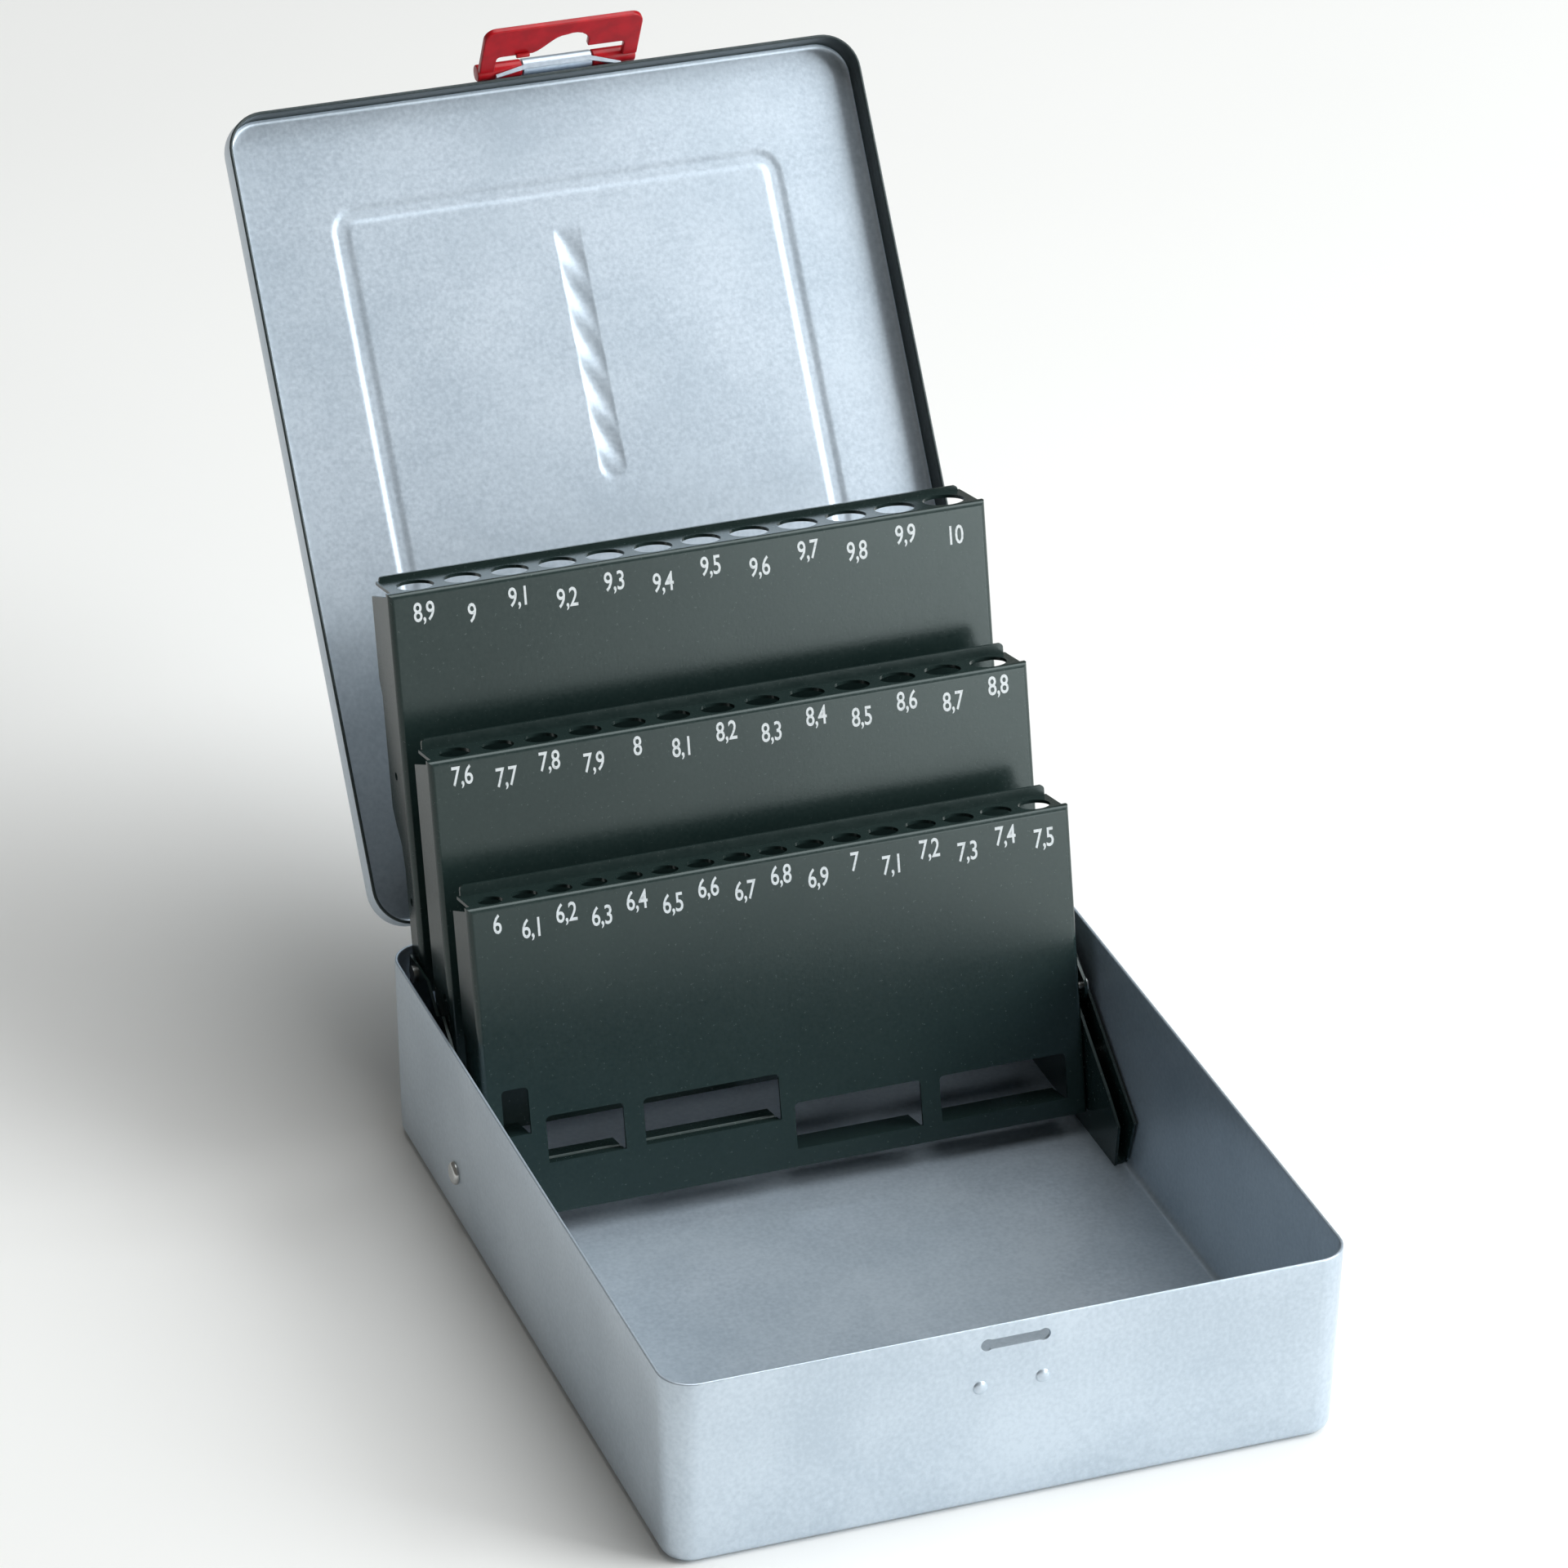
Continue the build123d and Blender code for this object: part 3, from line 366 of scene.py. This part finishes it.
def lid_relief(x, y):
    """Depth of the bead and of the drill, which is a round bar with two spiral flutes.

    The bead is a smooth step on each side of a rounded rectangle. The drill is
    (1 - d^2)^bar_power, less flute_share cos^2(asin(x/r) + 2 pi y / pitch) of itself, where
    d is the distance to its centre line in radii r; its lower end is round, its upper blunt.
    """
    along = y + lid_middle
    middle = (bead_low + bead_top) / 2
    px = np.abs(x) - (bead_half_x - bead_corner)
    py = np.abs(along - middle) - ((bead_top - bead_low) / 2 - bead_corner)
    outside = (np.hypot(np.maximum(px, 0), np.maximum(py, 0))
               + np.minimum(np.maximum(px, py), 0) - bead_corner)
    from_middle = np.abs(outside + bead_band / 2)
    bead = bead_depth * smooth_step((bead_band / 2 - from_middle) / bead_slope)
    past_end = np.minimum(along - relief_low - relief_half, 0)
    from_axis = np.hypot(x - relief_x, past_end) / relief_half
    across = np.clip((x - relief_x) / relief_half, -1, 1)
    turn = np.arcsin(across) + 2 * math.pi * along / flute_pitch
    body = np.clip(1 - from_axis ** 2, 0, 1) ** bar_power
    blunt = smooth_step((relief_top - along) / blunt_run)
    flutes = 1 - flute_share * np.cos(turn) ** 2
    return bead + relief_depth * body * blunt * flutes


lid_x, lid_y = case_width / 2 - lid_round, case_depth / 2 - lid_round
plate_corner = lid_corner - lid_round
plate_z, rim_z = lid_gap - hinge_lift + lid_depth, lid_gap - hinge_lift
fine, plain, relief_step = 0.0004, 0.005, 0.00034
bead_inner = bead_half_x - bead_corner
xs = lines((-lid_x, plate_corner / 6), (-lid_x + plate_corner, plain),
           (-bead_half_x - fine, fine), (-bead_inner + fine, plain),
           (relief_x - relief_half - relief_step, relief_step),
           (relief_x + relief_half + relief_step, plain),
           (bead_inner - fine, fine), (bead_half_x + fine, plain),
           (lid_x - plate_corner, plate_corner / 6), (lid_x, 1))
low_y, top_y = bead_low - lid_middle, bead_top - lid_middle
ys = lines((-lid_y, plate_corner / 6), (-lid_y + plate_corner, plain),
           (low_y - fine, fine), (low_y + bead_corner + fine, plain),
           (relief_low - lid_middle - fine, 2 * fine),
           (relief_top - lid_middle + fine, fine),
           (top_y - bead_corner - fine, fine), (top_y + fine, plain),
           (lid_y - plate_corner, plate_corner / 6), (lid_y, 1))
rim_at = -rim_z - edge_round
profile = arc(-lid_round, -plate_z + lid_round, lid_round - sheet, round_from, 0,
              round_points)
profile += [(-sheet, -plate_z * 0.5)]
profile += arc(edge_round - sheet, rim_at, edge_round, 180, 90, rim_points)
profile += arc(-edge_round, rim_at, edge_round, 90, 0, rim_points)
profile += [(0.0, -plate_z * 0.5)]
profile += arc(-lid_round, -plate_z + lid_round, lid_round, 0, round_from, round_points)
profile = [(g + lid_round, z) for g, z in profile]
points, faces, around = cup(lid_x, lid_y, plate_corner, xs, ys, lid_relief,
                            -plate_z + sheet, -plate_z, profile)
placed = (hinge + np.outer(points[:, 0], x_axis)
          + np.outer(points[:, 1] + lid_middle, lid_along) - np.outer(points[:, 2], lid_out))
# Painted shade: a dark enamel on the inside of the lid's wall and on its rim, standing in for
# the dark reflection there
painted_shade_edge = enamel("painted_shade_edge", (0.022, 0.034, 0.036), (0.050, 0.066, 0.068),
                  roughness=0.45, metallic=0.4, speck=1200.0)
# The wall's quads are the last ones, in one band per ring; the bands painted with the dark
# shade run from the round inside the wall to the rim's outer side
shade_band_from, shade_band_to = 4, 15
first_quad = len(faces) - around * (len(profile) + 1)
which = np.zeros(len(faces), int)
which[first_quad + around * shade_band_from:first_quad + around * shade_band_to] = 1
lid = build("lid", placed, faces, case_enamel, painted_shade_edge, which=which)
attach(lid, "lid")
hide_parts("lid_shell")


# Hinge leaves and latch bracket: small pieces folded from sheet steel, fixed to the rear
# walls and to the lid's end wall before enamelling, and coated with them.
paint_nodes(case_enamel, "hinge_leaf_base", "hinge_leaf_lid", "latch_bracket")


# Racks and brackets: folded from thin sheet and enamelled a dark green-grey. The side
# brackets, the link bar and the lid's lug are of the same painted sheet.
rack_enamel = enamel("rack_enamel", (0.015, 0.032, 0.030), (0.022, 0.041, 0.038),
                     roughness=0.24, metallic=0.3, speck=1100.0, coat=0.0, shine=0.7)
paint_nodes(rack_enamel, "rack_front", "rack_middle", "rack_rear", "bracket_left",
            "bracket_right", "link_bar", "lid_lug")


# Rivets and pins: turned or headed from zinc-plated steel wire, dulled by handling, and left
# bare. They sit in the bores of the brackets, racks, link bar, hinge and latch.
rivet_steel = enamel("rivet_steel", (0.52, 0.53, 0.52), (0.68, 0.69, 0.68),
                     roughness=0.24, metallic=0.9, speck=800.0)
paint_nodes(rivet_steel, "bracket_rivets", "rack_pivot_rivets", "hinge_pin", "lid_link_pin",
            "latch_pin", "link_rivet_front", "link_rivet_middle", "link_rivet_rear")


# Latch: one moulding of glossy red plastic that swings on a steel pin, with two barrels,
# a cross bar, a finger recess and a small rib that stands up from the cross bar.
latch_red, tree, shader, place = new_material("latch_red", roughness=0.30, coat=0.12,
                                              coat_roughness=0.12, shine=0.3)
cloud = node(tree, "ShaderNodeTexNoise", Vector=place, Scale=240.0, Detail=2.0)
colour = two_tone(tree, cloud.outputs[0], (0.36, 0.003, 0.008), (0.50, 0.005, 0.012))
tree.links.new(colour, shader.inputs["Base Color"])
scuff = node(tree, "ShaderNodeTexNoise", Vector=place, Scale=900.0, Detail=3.0)
gloss = node(tree, "ShaderNodeMapRange", Value=scuff.outputs[0], To_Min=0.24, To_Max=0.42)
tree.links.new(gloss.outputs[0], shader.inputs["Roughness"])
latch_x, latch_width, latch_length = 0.00435, 0.0413, 0.0164
latch_thick, latch_back, barrel_radius = 0.0016, 0.0006, 0.0021
latch_out, latch_up = 0.0026, 0.0030
barrel_left, barrel_right = 0.0116, 0.0111
arm_left, arm_right, bar_from = 0.0040, 0.0039, 0.0070
latch_short = math.radians(30.0)
latch_corner = 0.0030
latch_axis = (hinge + lid_along * (case_depth + hinge_behind + latch_out)
              + lid_out * latch_up)
swung = lid_opened + latch_short
latch_down = np.array([0.0, -math.sin(swung), -math.cos(swung)])
latch_face = np.array([0.0, math.cos(swung), -math.sin(swung)])
latch_left, latch_right = latch_x - latch_width / 2, latch_x + latch_width / 2
peak_x = latch_x + 0.00275
corner_points, crook_points = 7, 4
# The finger recess, in millimetres right of its deepest part and down from the latch pin
arch = [(4.3, 7.0), (4.25, 9.2), (4.0, 10.2), (3.3, 11.2), (2.2, 12.0), (0.8, 12.4),
        (-0.4, 12.4), (-1.6, 12.1), (-3.0, 11.9), (-4.2, 11.4), (-5.4, 10.5), (-6.6, 9.4),
        (-7.6, 8.5), (-8.8, 7.6), (-10.1, 7.0)]
arch = np.array([(peak_x + x / 1000, s / 1000) for x, s in arch])
inner_left, inner_right = latch_left + arm_left, latch_right - arm_right
crook, arm_from = 0.001, 0.0019
far = latch_length - latch_corner
outline = np.vstack([
    [(latch_left, arm_from)], [(inner_left, arm_from)],
    arc(inner_left + crook, bar_from - crook, crook, 180, 90, crook_points),
    arch[::-1],
    arc(inner_right - crook, bar_from - crook, crook, 90, 0, crook_points),
    [(inner_right, arm_from)], [(latch_right, arm_from)],
    arc(latch_right - latch_corner, far, latch_corner, 0, 90, corner_points),
    arc(latch_left + latch_corner, far, latch_corner, 90, 180, corner_points)])
count = len(outline)
plate = np.vstack([latch_axis + np.outer(outline[:, 0], x_axis)
                   + np.outer(outline[:, 1], latch_down) + latch_face * t
                   for t in (latch_back, latch_back + latch_thick)])
ring = np.arange(count)
edges = np.stack([ring, np.roll(ring, -1), np.roll(ring, -1) + count, ring + count], -1)
latch = build("latch_plate", plate,
              [ring[::-1].tolist(), (ring + count).tolist()] + edges.tolist(), latch_red)
soften = latch.modifiers.new("soften", "BEVEL")
soften.width = 0.00035
soften.segments = 3
soften.limit_method = "ANGLE"
soften.angle_limit = math.radians(50)
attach(latch, "latch")
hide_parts("latch_clip")


def turned_bar(name, start, end, radius, rounding, centre, material, sides=32, end_rings=5):
    """A round bar along x with rounded ends, its profile turned about its centre line."""
    angle = np.linspace(0, math.pi / 2, end_rings)
    xs = np.concatenate([start + rounding * (1 - np.cos(angle)),
                         end - rounding * (1 - np.cos(angle[::-1]))])
    radii = np.concatenate([radius - rounding * (1 - np.sin(angle)),
                            radius - rounding * (1 - np.sin(angle[::-1]))])
    spin = np.linspace(0, 2 * math.pi, sides, endpoint=False)
    rings = np.stack([xs[:, None] + 0 * spin, radii[:, None] * np.cos(spin),
                      radii[:, None] * np.sin(spin)], -1) + centre
    index, quads = stacked_rings(len(xs), sides)
    caps = [index[0, ::-1].tolist(), index[-1].tolist()]
    return build(name, rings.reshape(-1, 3), quads + caps, material)


end_round = 0.0003
for side, start, end in (("left", latch_left, latch_left + barrel_left),
                         ("right", latch_right - barrel_right, latch_right)):
    barrel = turned_bar("latch_barrel_" + side, start, end, barrel_radius, end_round,
                        latch_axis, latch_red)
    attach(barrel, "latch")
rib_start, rib_end, rib_radius, rib_off = latch_x - 0.0119, latch_x - 0.0084, 0.0006, 0.00045
rib_at = (latch_axis + latch_down * (bar_from + rib_off)
          + latch_face * (latch_back + latch_thick + rib_off))
rib = turned_bar("latch_rib", rib_start, rib_end, rib_radius, end_round, rib_at, latch_red)
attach(rib, "latch")


# Numbers: white figures printed on the front of each rack, just below its row of holes and
# in two staggered lines, one for each drill size from 6 to 10 mm by tenths.
ink_white, tree, shader, place = new_material("ink_white", roughness=0.5)
wear = node(tree, "ShaderNodeTexNoise", Vector=place, Scale=1500.0, Detail=3.0)
colour = two_tone(tree, wear.outputs[0], (0.48, 0.52, 0.53), (0.70, 0.74, 0.75), 0.28, 0.46)
tree.links.new(colour, shader.inputs["Base Color"])
rack_lean = math.radians(13.4)
pivot_in, ink_proud = 0.0035, 0.00004
figure_height, figure_squeeze, figure_fatten, figure_gap = 0.0049, 0.70, 0.00007, 0.95
height_per_size = 0.73
rack_width = 0.1528
rack_rows = {
    # first size, count, margin at the sides, pivot y and z, height above it, two lines
    "front": (6.0, 16, 0.00365, 0.0445, 0.0190, 0.06505, 0.0045, 0.0068),
    "middle": (7.6, 13, 0.0039, 0.0700, 0.0315, 0.0776, 0.0042, 0.0063),
    "rear": (8.9, 12, 0.00375, 0.0955, 0.0440, 0.0955, 0.0050, 0.0072),
}


def printed_number(words, centre_x, down, first_point):
    """Points and faces of one number, x across and y up; its points count from the first."""
    text = bpy.data.curves.new("number", "FONT")
    text.body = words
    text.size = figure_height / height_per_size
    text.align_x = "CENTER"
    text.offset = figure_fatten
    text.space_character = figure_gap
    text.resolution_u = 3
    holder = bpy.data.objects.new("number", text)
    bpy.context.scene.collection.objects.link(holder)
    bpy.context.view_layer.update()
    flat = bpy.data.meshes.new_from_object(holder)
    points = np.empty(len(flat.vertices) * 3)
    flat.vertices.foreach_get("co", points)
    points = points.reshape(-1, 3)
    points[:, 0] = points[:, 0] * figure_squeeze + centre_x
    points[:, 1] += -down - figure_height / 2
    faces = [(np.array(face.vertices) + first_point).tolist() for face in flat.polygons]
    bpy.data.objects.remove(holder)
    return points, faces


for rack_name, row in rack_rows.items():
    first, count, margin, pivot_y, pivot_z, above, high, low = row
    sizes = np.round(first + 0.1 * np.arange(count), 1)
    web = (rack_width - 2 * margin - sizes.sum() / 1000) / (count - 1)
    steps = (sizes[:-1] + sizes[1:]) / 2000 + web
    across = np.concatenate([[0], np.cumsum(steps)])
    across -= across[-1] / 2
    all_points, all_faces, start = [], [], 0
    for i, size in enumerate(sizes):
        words = f"{size:.1f}".replace(".0", "").replace(".", ",")
        points, faces = printed_number(words, across[i], low if i % 2 else high, start)
        all_points.append(points)
        all_faces += faces
        start += len(points)
    points = np.vstack(all_points)
    top_y = pivot_y + above * math.sin(rack_lean) - pivot_in * math.cos(rack_lean)
    top_z = pivot_z + above * math.cos(rack_lean) + pivot_in * math.sin(rack_lean)
    placed = np.empty_like(points)
    placed[:, 0] = points[:, 0]
    placed[:, 1] = (top_y + points[:, 1] * math.sin(rack_lean)
                    - ink_proud * math.cos(rack_lean))
    placed[:, 2] = (top_z + points[:, 1] * math.cos(rack_lean)
                    + ink_proud * math.sin(rack_lean))
    numbers = build("numbers_" + rack_name, placed, all_faces, ink_white)
    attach(numbers, rack_name + "_rack")


# Studio: a pale matt floor that fills the picture, a large soft light on the right and
# above, a small weak one in front, another large one overhead, and a dim warm surround.
floor_paint, tree, shader, place = new_material("floor_paint", roughness=0.7)
cloud = node(tree, "ShaderNodeTexNoise", Vector=place, Scale=3.0, Detail=2.0)
colour = two_tone(tree, cloud.outputs[0], (0.95, 0.943, 0.92), (0.97, 0.963, 0.94))
tree.links.new(colour, shader.inputs["Base Color"])
floor_reach = 6.0
corners = floor_reach * np.array([[-1, -1, 0], [1, -1, 0], [1, 1, 0], [-1, 1, 0]])
floor = build("floor", corners, [[0, 1, 2, 3]], floor_paint)


def soft_light(name, place, target, size, power, colour):
    """A square area light at a place, turned to face a target."""
    data = bpy.data.lights.new(name, "AREA")
    data.size = size
    data.energy = power
    data.color = colour
    lamp = bpy.data.objects.new(name, data)
    lamp.location = place
    aim = Vector(target) - Vector(place)
    lamp.rotation_euler = aim.to_track_quat("-Z", "Y").to_euler()
    bpy.context.scene.collection.objects.link(lamp)


cool = (0.95, 0.98, 1.0)
soft_light("key_light", (1.95, -1.0, 1.4), (0, 0.1, 0.1), size=1.6, power=62.0, colour=cool)
soft_light("front_light", (0.74, -1.17, 0.28), (0, 0.05, 0.09), size=0.6, power=4.8,
           colour=cool)
soft_light("top_light", (0.6, 0.2, 2.4), (0, 0, 0), size=2.0, power=40.0, colour=cool)
world = bpy.data.worlds.new("surround")
world.use_nodes = True
world.node_tree.nodes["Background"].inputs[0].default_value = (1.0, 0.96, 0.88, 1)
world.node_tree.nodes["Background"].inputs[1].default_value = 0.11
bpy.context.scene.world = world
